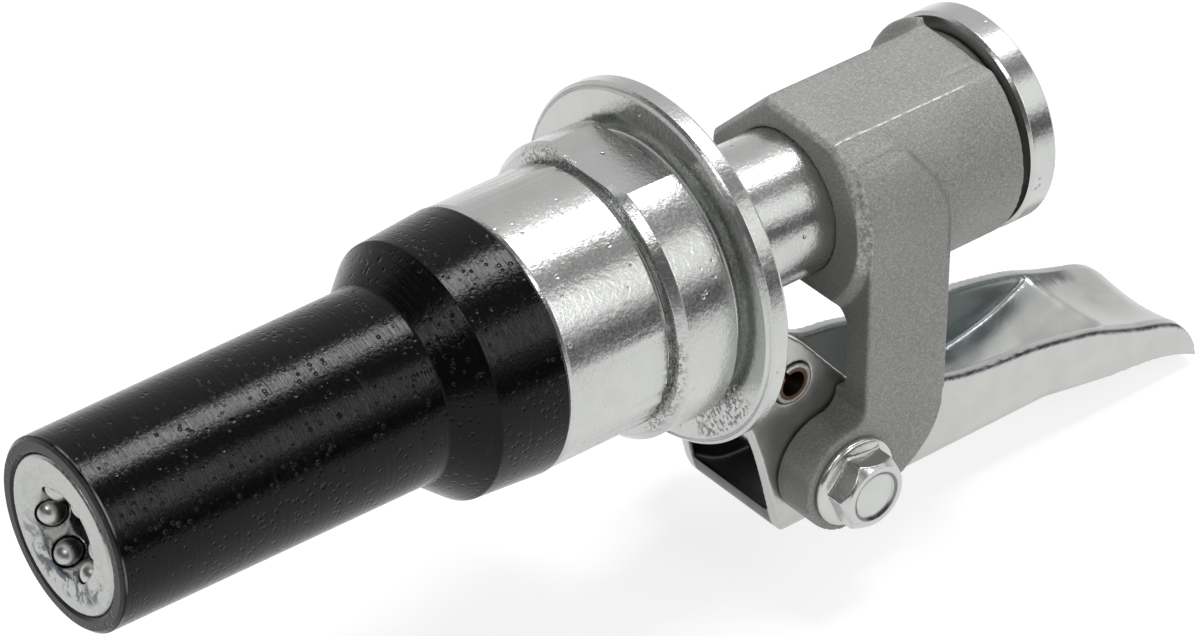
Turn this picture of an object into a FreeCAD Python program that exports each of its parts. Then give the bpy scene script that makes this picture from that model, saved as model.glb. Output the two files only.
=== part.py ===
import FreeCAD, Part
import math
import os
import Sketcher

# Lock-on grease coupler. Millimetres.
# X runs along the main axis from the nozzle mouth (x = 0) to the inlet.
# Z is up, away from the thumb lever. The pivot bolt's head is on the -Y side.

SIZES = [
    # nose sleeve
    ("nose_r", 10.0, "front sleeve, radius at the mouth"),
    ("nose_rear_r", 10.35, "front sleeve, radius before the cone"),
    ("nose_len", 37.7, "front sleeve, mouth to cone"),
    ("nose_edge", 0.4, "front sleeve, mouth edge chamfer"),
    ("cone_len", 3.8, "front sleeve, length of the cone"),
    ("cone_r", 13.6, "front sleeve, radius after the cone"),
    ("band_len", 8.0, "front sleeve, band behind the cone"),
    ("joint_r", 14.2, "radius where sleeve and barrel meet"),
    ("joint_edge", 0.3, "chamfers at the sleeve and barrel joint"),
    ("thread_r", 11.5, "threaded joint of sleeve and barrel"),
    ("spigot_len", 5.5, "barrel spigot inside the sleeve"),
    # barrel, spanner flats and flange
    ("barrel_r", 14.12, "smooth barrel radius"),
    ("barrel_len", 12.0, "smooth barrel length"),
    ("groove_w", 0.6, "undercut behind the smooth barrel, width"),
    ("groove_depth", 0.6, "undercut behind the smooth barrel, depth"),
    ("flat_width", 29.5, "across the two spanner flats"),
    ("flat_depth", 1.15, "spanner section, stand-out past its flats"),
    ("hex_drop", 0.8, "spanner section, front chamfer depth"),
    ("hex_edge", 0.9, "spanner section, front chamfer length"),
    ("hex_len", 6.8, "spanner section length"),
    ("neck_drop", 0.25, "neck before the flange, depth below the flats"),
    ("neck_w", 1.2, "neck width"),
    ("flange_r", 19.5, "flange radius"),
    ("flange_edge", 0.8, "flange, front edge chamfer"),
    ("flange_w", 2.4, "flange thickness"),
    ("back_wall", 6.0, "barrel, thickness of the rear wall"),
    ("chamber_r", 9.9, "spring chamber radius"),
    # nozzle core and balls
    ("core_r", 8.3, "nozzle core, disc radius"),
    ("core_disc", 1.2, "nozzle core, disc thickness"),
    ("core_edge", 0.3, "nozzle core, edge chamfer"),
    ("dish_r", 6.9, "mouth dish, outer radius"),
    ("mouth_r", 4.7, "mouth dish, inner radius"),
    ("dish_depth", 0.15, "mouth dish depth"),
    ("funnel_depth", 3.0, "end of the funnel behind the mouth"),
    ("core_bore_r", 3.45, "nozzle core, bore radius"),
    ("core_tube_r", 5.75, "nozzle core, tube radius"),
    ("core_tube_len", 12.6, "nozzle core, overall length"),
    ("ball_r", 1.5, "locking ball radius"),
    ("ball_ring_r", 4.45, "radius of the ring of ball centres"),
    ("ball_x", 1.85, "ball centres behind the mouth face"),
    ("ball_turn", 5.0, "turn of the first ball from +Y towards -Z, degrees"),
    ("ball_count", 6.0, "number of locking balls"),
    # fits
    ("press_gap", 0.02, "gap of a pressed or screwed joint"),
    ("slide_gap", 0.1, "radial gap of a sliding fit"),
    ("run_gap", 0.05, "radial gap of a turning fit"),
    ("stop_gap", 0.05, "gap at a rest stop"),
    ("lip_gap", 0.07, "gap between balls and pusher lip"),
    # stem and pusher
    ("slide_r", 8.35, "pusher and stem, radius inside the sleeve"),
    ("web_x", 13.0, "front face of the pusher's web"),
    ("pusher_thread", 7.0, "pusher, length of its threaded rear part"),
    ("stem_nose_r", 5.0, "stem, threaded nose radius"),
    ("tip_r", 3.25, "stem, tip radius"),
    ("stem_r", 7.94, "stem radius behind the collar"),
    ("stem_rear_r", 7.5, "stem radius inside the bracket"),
    ("collar_r", 9.75, "stem collar radius"),
    ("collar_w", 2.5, "stem collar width"),
    ("collar_ahead", 0.5, "stem collar ahead of the cone's end"),
    ("stem_gap", 15.9, "free stem between flange and bracket"),
    ("duct_r", 1.6, "grease duct radius"),
    # seal
    ("seal_front", 5.1, "seal face behind the mouth face"),
    ("seal_len", 2.28, "seal disc thickness"),
    ("seal_r", 3.2, "seal radius"),
    ("seal_neck_r", 1.9, "seal neck radius"),
    ("seal_neck_len", 1.9, "seal neck length"),
    ("seal_duct_r", 1.0, "seal duct radius"),
    # main spring
    ("spring_r", 8.95, "main spring, mean radius"),
    ("spring_wire", 1.5, "main spring, wire diameter"),
    ("spring_pitch", 3.3, "main spring, pitch"),
    # inlet adapter and check valve
    ("bracket_len", 23.25, "bracket, length along the axis"),
    ("ring_r", 12.1, "inlet ring radius"),
    ("ring_w", 3.5, "inlet ring width"),
    ("ring_edge", 0.35, "inlet ring edge chamfer"),
    ("spigot_r", 6.0, "inlet spigot radius"),
    ("spigot_in", 14.3, "inlet spigot length inside the stem"),
    ("inlet_r", 4.4, "inlet thread, tap drill radius"),
    ("inlet_depth", 10.0, "inlet thread depth"),
    ("inlet_duct_r", 2.0, "inlet duct radius"),
    ("seat_w", 0.8, "check valve seat, chamfer width"),
    ("valve_r", 3.0, "check ball radius"),
    ("valve_room_r", 3.6, "check valve chamber radius"),
    ("valve_room_len", 13.2, "check valve chamber length"),
    ("valve_wire", 0.5, "check spring, wire diameter"),
    ("valve_coil_r", 2.2, "check spring, mean radius"),
    ("valve_pitch", 1.4, "check spring, pitch"),
    # bracket
    ("body_y", 11.9, "bracket body, half width"),
    ("body_top", 10.6, "bracket body, height above the axis"),
    ("near_top", 10.0, "bracket body, near end of its flat top, height"),
    ("body_low", 9.0, "bracket body, depth below the axis"),
    ("body_diag", 14.3, "bracket body, |y| + |z| on the far slanted faces"),
    ("body_r", 12.05, "bracket body, radius of its round near side"),
    ("body_edge", 0.7, "bracket body, front chamfer"),
    ("foot_r", 12.05, "bracket, round foot before the inlet ring"),
    ("foot_flat", 3.6, "bracket foot, far end of its flat top"),
    ("foot_w", 1.8, "bracket, width of the round foot"),
    ("foot_blend", 2.6, "bracket, blend before the round foot"),
    ("seat_r", 10.3, "bracket, seat under the inlet ring, radius"),
    ("seat_step", 1.1, "bracket, seat under the inlet ring, height"),
    ("arm_near", 12.5, "bracket arm, distance of its outer face"),
    ("arm_thick", 3.4, "bracket arm thickness"),
    ("boss_thick", 4.9, "bracket arm thickness at the pivot boss"),
    ("arm_set", 0.95, "bracket arm, set back from the front face"),
    ("arm_w", 10.9, "bracket arm width"),
    ("boss_r", 6.05, "pivot boss radius"),
    ("heel_r", 9.2, "rounded heel of the arm, radius"),
    ("heel_up", 6.0, "heel centre above the pivot"),
    ("arm_fillet", 2.2, "fillet between arm and boss"),
    ("cheek_r", 12.6, "raised cheek above the arm, radius"),
    ("cheek_top", 8.4, "raised cheek, height above the axis"),
    ("gusset", 2.8, "fillet between body and arm, inside"),
    # lever and its pivot
    ("pivot_ahead", 0.65, "pivot ahead of the bracket's front face"),
    ("pivot_drop", 27.9, "pivot below the main axis"),
    ("lever_half", 7.5, "lever, half width"),
    ("sheet", 1.5, "lever, sheet thickness"),
    ("bend_r", 3.0, "lever, outer bend radius"),
    ("fold_run", 9.0, "lever, length over which the folds run out"),
    ("cam_r", 15.6, "lever cam, base circle radius"),
    ("pin_r", 2.4, "cross pin radius"),
    ("pin_wall", 0.95, "cross pin wall"),
    ("pin_slit", 0.6, "cross pin slit"),
    ("slit_turn", 35.0, "cross pin slit, turn towards the nozzle, degrees"),
    ("pin_ahead", 4.16, "cross pin ahead of the pivot"),
    ("pin_up", 11.4, "cross pin above the pivot"),
    ("pin_proud", 0.2, "cross pin, stand-out at each side"),
    ("bolt_r", 2.5, "pivot bolt, shank radius"),
    ("bolt_flange_r", 5.1, "pivot bolt, flange radius"),
    ("bolt_flange_w", 1.0, "pivot bolt, flange thickness"),
    ("bolt_hex", 8.0, "pivot bolt and nut, across flats"),
    ("bolt_head", 3.1, "pivot bolt, hexagon height"),
    ("head_turn", 23.0, "pivot bolt and nut, corner from upright, degrees"),
    ("bolt_top_r", 3.73, "pivot bolt, top circle radius"),
    ("bolt_dish_r", 2.9, "pivot bolt, recess radius"),
    ("bolt_dish", 0.2, "pivot bolt, recess depth"),
    ("bush_r", 3.5, "pivot bush, outer radius"),
    ("bush_out", 0.25, "pivot bush, stand-out past the lever"),
    ("washer_r", 5.0, "washer radius"),
    ("washer_w", 1.0, "washer thickness"),
    ("nut_w", 4.0, "nut height"),
    ("bolt_out", 0.9, "pivot bolt, stand-out past the nut"),
]

doc = FreeCAD.newDocument("grease_coupler")
sheet = doc.addObject("Spreadsheet::Sheet", "Sizes")
for row, (name, number, meaning) in enumerate(SIZES, 1):
    sheet.set("A%d" % row, meaning)
    sheet.set("B%d" % row, str(number))
    sheet.setAlias("B%d" % row, name)
doc.recompute()


class Val:
    """A size: its number now, and the sheet expression that gives it."""

    def __init__(self, number, text):
        self.number = number
        self.text = text

    def __add__(self, other):
        other = val(other)
        return Val(self.number + other.number, "(%s + %s)" % (self.text, other.text))

    def __sub__(self, other):
        other = val(other)
        return Val(self.number - other.number, "(%s - %s)" % (self.text, other.text))

    def __mul__(self, other):
        other = val(other)
        return Val(self.number * other.number, "(%s * %s)" % (self.text, other.text))

    def __neg__(self):
        return Val(-self.number, "(0 - %s)" % self.text)


def val(thing):
    if isinstance(thing, Val):
        return thing
    return Val(float(thing), repr(float(thing)))


class Table:
    pass


k = Table()
for name, number, meaning in SIZES:
    setattr(k, name, Val(number, "Sizes." + name))

# stations along the axis
x_cone = k.nose_len + k.cone_len
x_joint = x_cone + k.band_len
x_groove = x_joint + k.barrel_len
x_hex = x_groove + k.groove_w
x_neck = x_hex + k.hex_len
x_flange = x_neck + k.neck_w
x_back = x_flange + k.flange_w
x_wall = x_back - k.back_wall
x_collar = x_cone - k.collar_ahead
x_collar_end = x_collar + k.collar_w
x_spigot = x_joint - k.spigot_len
x_bracket = x_back + k.stem_gap
x_seat = x_bracket + k.bracket_len
x_ring = x_seat + k.press_gap
x_end = x_ring + k.ring_w
x_valve_seat = x_ring - k.spigot_in
x_valve_room = x_valve_seat - k.valve_room_len
pivot_x = x_bracket - k.pivot_ahead
pivot_z = -k.pivot_drop
bore_r = k.slide_r + k.slide_gap
half_flat = k.flat_width * 0.5
hex_r = half_flat + k.flat_depth
neck_r = half_flat - k.neck_drop


def origin_plane(body, role):
    for feature in body.Origin.OriginFeatures:
        if feature.Role == role:
            return feature
    raise ValueError(role)


def new_body(label):
    body = doc.addObject("PartDesign::Body", label)
    body.Label = label
    return body


def new_sketch(body, name, role, offset=None):
    sketch = body.newObject("Sketcher::SketchObject", name)
    sketch.AttachmentSupport = [(origin_plane(body, role), "")]
    sketch.MapMode = "FlatFace"
    if offset is not None:
        offset = val(offset)
        sketch.AttachmentOffset = FreeCAD.Placement(
            FreeCAD.Vector(0, 0, offset.number), FreeCAD.Rotation())
        sketch.setExpression(".AttachmentOffset.Base.z", offset.text)
    return sketch


def fix_point(sketch, item, end, u, v):
    """Tie one end of a sketch item to the coordinates u, v."""
    for kind, axis, size in (("DistanceX", -2, u), ("DistanceY", -1, v)):
        if abs(size.number) < 1e-9:
            sketch.addConstraint(Sketcher.Constraint("PointOnObject", item, end, axis))
            continue
        rule = Sketcher.Constraint(kind, -1, 1, item, end, size.number)
        index = sketch.addConstraint(rule)
        sketch.setExpression("Constraints[%d]" % index, size.text)


def polygon(sketch, points):
    """Closed polygon whose corners are bound to the sheet."""
    points = [(val(u), val(v)) for u, v in points]
    corners = [FreeCAD.Vector(u.number, v.number, 0) for u, v in points]
    count = len(corners)
    first = sketch.GeometryCount
    for i in range(count):
        line = Part.LineSegment(corners[i], corners[(i + 1) % count])
        sketch.addGeometry(line, False)
    for i in range(count):
        after = first + (i + 1) % count
        sketch.addConstraint(Sketcher.Constraint("Coincident", first + i, 2, after, 1))
    for i, (u, v) in enumerate(points):
        fix_point(sketch, first + i, 1, u, v)


def circle(sketch, u, v, radius):
    u, v, radius = val(u), val(v), val(radius)
    centre = FreeCAD.Vector(u.number, v.number, 0)
    normal = FreeCAD.Vector(0, 0, 1)
    item = sketch.addGeometry(Part.Circle(centre, normal, radius.number), False)
    fix_point(sketch, item, 3, u, v)
    index = sketch.addConstraint(Sketcher.Constraint("Radius", item, radius.number))
    sketch.setExpression("Constraints[%d]" % index, radius.text)


def turned(body, name, points, kind="PartDesign::Revolution", axis="H_Axis"):
    """Revolve a polygon of (station, radius) corners about the X or Y axis."""
    sketch = new_sketch(body, name + "Profile", "XY_Plane")
    polygon(sketch, points)
    feature = body.newObject(kind, name)
    feature.Profile = sketch
    feature.ReferenceAxis = (sketch, [axis])
    feature.Angle = 360.0
    return feature


def pad(body, name, sketch, length, reverse=False, middle=False):
    length = val(length)
    feature = body.newObject("PartDesign::Pad", name)
    feature.Profile = sketch
    feature.Length = length.number
    feature.setExpression("Length", length.text)
    feature.Reversed = reverse
    feature.Midplane = middle
    return feature


def pocket(body, name, sketch, length, reverse=False, middle=False):
    length = val(length)
    before = body.Tip.Shape.Volume
    feature = body.newObject("PartDesign::Pocket", name)
    feature.Profile = sketch
    feature.Length = length.number
    feature.setExpression("Length", length.text)
    feature.Reversed = reverse
    feature.Midplane = middle
    doc.recompute()
    if feature.Shape.Volume > before - 1e-3:
        raise ValueError("%s removes nothing" % name)
    return feature


def place(thing, x=None, y=None, z=None):
    base = [val(0 if c is None else c) for c in (x, y, z)]
    thing.Placement = FreeCAD.Placement(
        FreeCAD.Vector(*[c.number for c in base]), FreeCAD.Rotation())
    for letter, c, given in zip("xyz", base, (x, y, z)):
        if given is not None:
            thing.setExpression("Placement.Base." + letter, c.text)


# Front sleeve: the dark nose that slides on the pusher and the stem
front_sleeve = new_body("front_sleeve")
turned(front_sleeve, "SleeveTurned", [
    (0, k.core_r + k.core_edge),
    (0, k.nose_r - k.nose_edge),
    (k.nose_edge, k.nose_r),
    (k.nose_len, k.nose_rear_r),
    (x_cone, k.cone_r),
    (x_joint - k.joint_edge, k.joint_r),
    (x_joint, k.joint_r - k.joint_edge),
    (x_joint, k.thread_r),
    (x_spigot - k.press_gap, k.thread_r),
    (x_spigot - k.press_gap, k.chamber_r),
    (x_collar - k.stop_gap, k.chamber_r),
    (x_collar - k.stop_gap, bore_r),
    (k.core_disc + k.press_gap, bore_r),
    (k.core_disc + k.press_gap, k.core_r),
    (k.core_edge, k.core_r),
])

# Rear barrel: smooth barrel, undercut, spanner section and push flange
rear_barrel = new_body("rear_barrel")
turned(rear_barrel, "BarrelTurned", [
    (x_spigot, k.chamber_r),
    (x_wall, k.chamber_r),
    (x_wall, k.stem_r + k.slide_gap),
    (x_back, k.stem_r + k.slide_gap),
    (x_back, k.flange_r - k.joint_edge),
    (x_back - k.joint_edge, k.flange_r),
    (x_flange + k.flange_edge, k.flange_r),
    (x_flange, k.flange_r - k.flange_edge),
    (x_flange, neck_r),
    (x_neck, neck_r),
    (x_neck, hex_r),
    (x_hex + k.hex_edge, hex_r),
    (x_hex, hex_r - k.hex_drop),
    (x_hex, k.barrel_r - k.groove_depth),
    (x_groove, k.barrel_r - k.groove_depth),
    (x_groove, k.barrel_r),
    (x_joint + k.press_gap + k.joint_edge, k.barrel_r),
    (x_joint + k.press_gap, k.barrel_r - k.joint_edge),
    (x_joint + k.press_gap, k.thread_r - k.press_gap),
    (x_spigot, k.thread_r - k.press_gap),
])
flats = new_sketch(rear_barrel, "FlatProfile", "YZ_Plane", x_hex)
for side in (1.0, -1.0):
    polygon(flats, [
        (-k.flange_r, half_flat * side),
        (k.flange_r, half_flat * side),
        (k.flange_r, k.flange_r * side),
        (-k.flange_r, k.flange_r * side),
    ])
doc.recompute()
pocket(rear_barrel, "SpannerFlats", flats, k.hex_len, reverse=True)

# Nozzle core: dished mouth, funnel, six ball holes and a guide tube
nozzle_core = new_body("nozzle_core")
core_out = k.core_r - k.press_gap
turned(nozzle_core, "CoreTurned", [
    (0, k.dish_r),
    (0, core_out - k.core_edge),
    (k.core_edge, core_out),
    (k.core_disc, core_out),
    (k.core_disc, k.core_tube_r),
    (k.core_tube_len, k.core_tube_r),
    (k.core_tube_len, k.core_bore_r),
    (k.funnel_depth, k.core_bore_r),
    (k.dish_depth, k.mouth_r),
])
ball_hole_r = k.ball_r + k.run_gap
ball_room = k.ball_ring_r + k.ball_r + 0.8
lip_y = k.ball_ring_r - k.ball_r * 0.4
hole = new_sketch(nozzle_core, "BallHoleProfile", "XZ_Plane", -lip_y)
circle(hole, k.ball_x, 0, ball_hole_r)
lip = new_sketch(nozzle_core, "BallLipProfile", "XZ_Plane")
circle(lip, k.ball_x, 0, k.ball_r * 0.93)
doc.recompute()
ball_hole = pocket(nozzle_core, "BallHole", hole, ball_room - lip_y)
ball_lip = pocket(nozzle_core, "BallLip", lip, k.ball_ring_r)
ring = nozzle_core.newObject("PartDesign::PolarPattern", "BallHoles")
ring.Originals = [ball_hole, ball_lip]
ring.Axis = (lip, ["H_Axis"])
ring.Angle = 360.0
ring.Occurrences = int(k.ball_count.number)
ring.setExpression("Occurrences", k.ball_count.text)
nozzle_core.Tip = ring
nozzle_core.Placement = FreeCAD.Placement(
    FreeCAD.Vector(), FreeCAD.Vector(1, 0, 0), -k.ball_turn.number)

# Locking balls
loose = []
for i in range(int(k.ball_count.number)):
    ball = doc.addObject("Part::Sphere", "Ball")
    ball.Label = "ball_%d" % (i + 1)
    ball.Radius = k.ball_r.number
    ball.setExpression("Radius", k.ball_r.text)
    angle = math.radians(k.ball_turn.number + i * 360.0 / k.ball_count.number)
    place(ball, k.ball_x, k.ball_ring_r * math.cos(angle),
          k.ball_ring_r * -math.sin(angle))
    loose.append(ball)

# Pusher sleeve: its tapered front lip holds the balls in
pusher_sleeve = new_body("pusher_sleeve")
lip_r = k.ball_ring_r + k.ball_r + k.lip_gap
lip_x = k.core_disc + k.stop_gap
web_end = k.web_x + k.pusher_thread
turned(pusher_sleeve, "PusherTurned", [
    (lip_x, lip_r + 0.14),
    (lip_x, k.slide_r - k.core_edge),
    (lip_x + k.core_edge, k.slide_r),
    (web_end, k.slide_r),
    (web_end, k.stem_nose_r + k.press_gap),
    (k.web_x, k.stem_nose_r + k.press_gap),
    (k.web_x, lip_r),
    (k.ball_x, lip_r),
])

# Stem: grease tube with the spring collar, through the bracket
stem = new_body("stem")
seal_back = k.seal_front + k.seal_len
tip_x = seal_back + k.press_gap
pocket_x = tip_x + k.seal_neck_len + k.press_gap
stem_end = x_seat - 1.0
shoulder_x = x_bracket + 1.5
turned(stem, "StemTurned", [
    (tip_x, k.seal_neck_r + k.press_gap),
    (tip_x, k.tip_r),
    (k.web_x + k.press_gap, k.tip_r),
    (k.web_x + k.press_gap, k.stem_nose_r),
    (web_end + k.press_gap, k.stem_nose_r),
    (web_end + k.press_gap, k.slide_r),
    (x_collar, k.slide_r),
    (x_collar, k.collar_r),
    (x_collar_end, k.collar_r),
    (x_collar_end, k.stem_r),
    (shoulder_x, k.stem_r),
    (shoulder_x, k.stem_rear_r),
    (stem_end, k.stem_rear_r),
    (stem_end, k.spigot_r + k.press_gap),
    (x_valve_seat - k.press_gap, k.spigot_r + k.press_gap),
    (x_valve_seat - k.press_gap, k.valve_room_r),
    (x_valve_room, k.valve_room_r),
    (x_valve_room, k.duct_r),
    (pocket_x, k.duct_r),
    (pocket_x, k.seal_neck_r + k.press_gap),
])

# Nozzle seal: rubber disc plugged into the stem tip
nozzle_seal = new_body("nozzle_seal")
turned(nozzle_seal, "SealTurned", [
    (k.seal_front, k.seal_duct_r + 0.5),
    (k.seal_front, k.seal_r - 0.25),
    (k.seal_front + 0.25, k.seal_r),
    (seal_back, k.seal_r),
    (seal_back, k.seal_neck_r),
    (seal_back + k.seal_neck_len, k.seal_neck_r),
    (seal_back + k.seal_neck_len, k.seal_duct_r),
    (k.seal_front + 0.5, k.seal_duct_r),
])


def coil(label, start, end, mean_r, wire, pitch):
    """Round-wire compression spring between two stations on the axis."""
    body = new_body(label)
    sketch = new_sketch(body, label + "Wire", "XY_Plane")
    circle(sketch, start + wire * 0.5 + k.press_gap, mean_r, wire * 0.5)
    helix = body.newObject("PartDesign::AdditiveHelix", label + "Helix")
    helix.Profile = sketch
    helix.ReferenceAxis = (sketch, ["H_Axis"])
    helix.Mode = 0
    height = end - start - wire - k.press_gap * 2.0
    helix.Pitch = pitch.number
    helix.Height = height.number
    helix.setExpression("Pitch", pitch.text)
    helix.setExpression("Height", height.text)
    return body


main_spring = coil("main_spring", x_collar_end, x_wall,
                   k.spring_r, k.spring_wire, k.spring_pitch)

# Inlet adapter: round ring with the hose thread, screwed into the stem
inlet_adapter = new_body("inlet_adapter")
thread_in = x_end - k.inlet_depth
turned(inlet_adapter, "InletTurned", [
    (x_valve_seat, k.inlet_duct_r + k.seat_w),
    (x_valve_seat, k.spigot_r),
    (x_ring, k.spigot_r),
    (x_ring, k.ring_r - k.ring_edge),
    (x_ring + k.ring_edge, k.ring_r),
    (x_end - k.ring_edge, k.ring_r),
    (x_end, k.ring_r - k.ring_edge),
    (x_end, k.inlet_r + 0.5),
    (x_end - 0.5, k.inlet_r),
    (thread_in, k.inlet_r),
    (thread_in - 1.2, k.inlet_duct_r),
    (x_valve_seat + k.seat_w, k.inlet_duct_r),
])

# Check ball on the adapter's conical seat, and its spring
check_x = x_valve_seat + k.inlet_duct_r + k.seat_w - k.valve_r * math.sqrt(2) - 0.03
check_ball = doc.addObject("Part::Sphere", "CheckBall")
check_ball.Label = "check_ball"
check_ball.Radius = k.valve_r.number
check_ball.setExpression("Radius", k.valve_r.text)
place(check_ball, check_x, 0, 0)
loose.append(check_ball)
ball_face = check_x - k.valve_r * 0.75
check_spring = coil("check_spring", x_valve_room, ball_face,
                    k.valve_coil_r, k.valve_wire, k.valve_pitch)

# Cast bracket: body on the stem, round on the near side, with one arm down to the pivot
cast_bracket = new_body("cast_bracket")
arm_front = x_bracket + k.arm_set
arm_back = arm_front + k.arm_w
heel_x = arm_back - k.heel_r
heel_z = pivot_z + k.heel_up


# Raised cheek above the arm, its rear edge leaning forward towards the top
cheek = new_sketch(cast_bracket, "CheekProfile", "YZ_Plane", arm_front)
cheek_r = k.cheek_r.number
cheek_y = -math.sqrt(cheek_r ** 2 - k.cheek_top.number ** 2)
cheek_low = -math.sqrt(cheek_r ** 2 - 9.0)
cheek_corner = FreeCAD.Vector(cheek_y, k.cheek_top.number, 0)
cheek_foot = FreeCAD.Vector(cheek_low, -3.0, 0)
cheek.addGeometry([
    Part.Arc(cheek_corner, FreeCAD.Vector(-cheek_r, 0, 0), cheek_foot),
    Part.LineSegment(cheek_foot, FreeCAD.Vector(cheek_y, -3.0, 0)),
    Part.LineSegment(FreeCAD.Vector(cheek_y, -3.0, 0), cheek_corner),
], False)
pad(cast_bracket, "Cheek", cheek, k.arm_w)
lean = new_sketch(cast_bracket, "CheekLean", "XZ_Plane")
polygon(lean, [
    (arm_back + 0.5, -2.0),
    (arm_back - 0.6, 1.5),
    (arm_back - 2.0, 4.8),
    (arm_back - 4.0, 7.6),
    (arm_back - 6.0, k.cheek_top + 1.0),
    (arm_back + 0.5, k.cheek_top + 1.0),
])
doc.recompute()
pocket(cast_bracket, "CheekRear", lean, k.cheek_r + 1.0, reverse=True)

section = new_sketch(cast_bracket, "BodyProfile", "YZ_Plane", x_bracket)
top, low, flank = k.body_top.number, -k.body_low.number, k.body_y.number
diag, body_r = k.body_diag.number, k.body_r.number
near_top = k.near_top.number
corners = [
    FreeCAD.Vector(-math.sqrt(body_r ** 2 - low ** 2), low, 0),
    FreeCAD.Vector(diag + low, low, 0),
    FreeCAD.Vector(flank, flank - diag, 0),
    FreeCAD.Vector(flank, diag - flank, 0),
    FreeCAD.Vector(diag - top, top, 0),
    FreeCAD.Vector(-math.sqrt(body_r ** 2 - near_top ** 2), near_top, 0),
]
pieces = [Part.LineSegment(a, b) for a, b in zip(corners, corners[1:])]
near = Part.Arc(corners[-1], FreeCAD.Vector(-body_r, 0, 0), corners[0])
section.addGeometry(pieces + [near], False)
slab = pad(cast_bracket, "BodyPad", section, k.bracket_len - k.seat_step)
doc.recompute()
front_edges = []
for number, edge in enumerate(slab.Shape.Edges, 1):
    if edge.BoundBox.XMax < x_bracket.number + 1e-3:
        front_edges.append("Edge%d" % number)
bevel = cast_bracket.newObject("PartDesign::Chamfer", "BodyBevel")
bevel.Base = (slab, front_edges)
bevel.Size = k.body_edge.number
bevel.setExpression("Size", k.body_edge.text)
foot_end = x_seat - k.seat_step
foot_x = foot_end - k.foot_w
foot_start = foot_x - k.foot_blend
turned(cast_bracket, "RoundFoot", [
    (foot_start, 0),
    (foot_start, k.body_low + 0.4),
    (foot_x, k.foot_r),
    (foot_end, k.foot_r),
    (foot_end, k.seat_r),
    (x_seat, k.seat_r),
    (x_seat, 0),
])
flat_top = new_sketch(cast_bracket, "FootFlatProfile", "YZ_Plane", foot_start)
polygon(flat_top, [
    (-k.body_low, k.near_top - 0.13),
    (k.foot_flat, k.body_top),
    (k.foot_flat + 1.2, k.foot_r + 1.0),
    (-k.body_low, k.foot_r + 1.0),
])
doc.recompute()
pocket(cast_bracket, "FootFlat", flat_top, k.foot_blend + k.foot_w, reverse=True)


def arm_outline(sketch, top):
    """Arm side view: straight front, fillet, boss, heel and straight back."""
    px, pz = pivot_x.number, pivot_z.number
    fx, bx = arm_front.number, arm_back.number
    hx, hz = heel_x.number, heel_z.number
    boss, heel, fil = k.boss_r.number, k.heel_r.number, k.arm_fillet.number
    rise = math.sqrt((boss + fil) ** 2 - (fx - fil - px) ** 2)
    cx, cz = fx - fil, pz + rise
    share = boss / (boss + fil)
    on_boss = FreeCAD.Vector(px + (cx - px) * share, pz + (cz - pz) * share, 0)
    span = math.hypot(hx - px, hz - pz)
    lean = math.atan2(hz - pz, hx - px)
    turn = lean - math.acos((boss - heel) / span)
    low = FreeCAD.Vector(px + boss * math.cos(turn), pz + boss * math.sin(turn), 0)
    high = FreeCAD.Vector(hx + heel * math.cos(turn), hz + heel * math.sin(turn), 0)
    left = FreeCAD.Vector(px - boss, pz, 0)
    start = FreeCAD.Vector(fx, cz, 0)
    bend = math.radians(40)
    mid = FreeCAD.Vector(cx + fil * math.cos(-bend), cz + fil * math.sin(-bend), 0)
    back = FreeCAD.Vector(bx, hz, 0)
    half = 0.5 * turn
    mid_heel = FreeCAD.Vector(hx + heel * math.cos(half), hz + heel * math.sin(half), 0)
    corner_front = FreeCAD.Vector(fx, top, 0)
    corner_back = FreeCAD.Vector(bx, top, 0)
    pieces = [
        Part.LineSegment(corner_front, start),
        Part.Arc(start, mid, on_boss),
        Part.Arc(on_boss, left, low),
        Part.LineSegment(low, high),
        Part.Arc(high, mid_heel, back),
        Part.LineSegment(back, corner_back),
        Part.LineSegment(corner_back, corner_front),
    ]
    sketch.addGeometry(pieces, False)


arm = new_sketch(cast_bracket, "ArmProfile", "XZ_Plane", k.arm_near)
arm_outline(arm, -1.0)
pad(cast_bracket, "Arm", arm, k.arm_thick, reverse=True)
thick = new_sketch(cast_bracket, "BossProfile", "XZ_Plane", k.arm_near)
arm_outline(thick, pivot_z.number + k.boss_r.number + 2.6)
pad(cast_bracket, "PivotBoss", thick, k.boss_thick, reverse=True)

gusset = new_sketch(cast_bracket, "GussetProfile", "YZ_Plane", arm_front)
inner_y = k.arm_thick.number - k.arm_near.number
low_z = -k.body_low.number
g = k.gusset.number
root_y = inner_y - 0.5
bend_mid = FreeCAD.Vector(inner_y + g * (1 - math.sqrt(0.5)),
                          low_z - g * (1 - math.sqrt(0.5)), 0)
gusset.addGeometry([
    Part.Arc(FreeCAD.Vector(inner_y, low_z - g, 0), bend_mid,
             FreeCAD.Vector(inner_y + g, low_z, 0)),
    Part.LineSegment(FreeCAD.Vector(inner_y + g, low_z, 0),
                     FreeCAD.Vector(inner_y + g, low_z + 2.0, 0)),
    Part.LineSegment(FreeCAD.Vector(inner_y + g, low_z + 2.0, 0),
                     FreeCAD.Vector(root_y, low_z + 2.0, 0)),
    Part.LineSegment(FreeCAD.Vector(root_y, low_z + 2.0, 0),
                     FreeCAD.Vector(root_y, low_z - g, 0)),
    Part.LineSegment(FreeCAD.Vector(root_y, low_z - g, 0),
                     FreeCAD.Vector(inner_y, low_z - g, 0)),
], False)
pad(cast_bracket, "Gusset", gusset, k.arm_w - 1.0)

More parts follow.
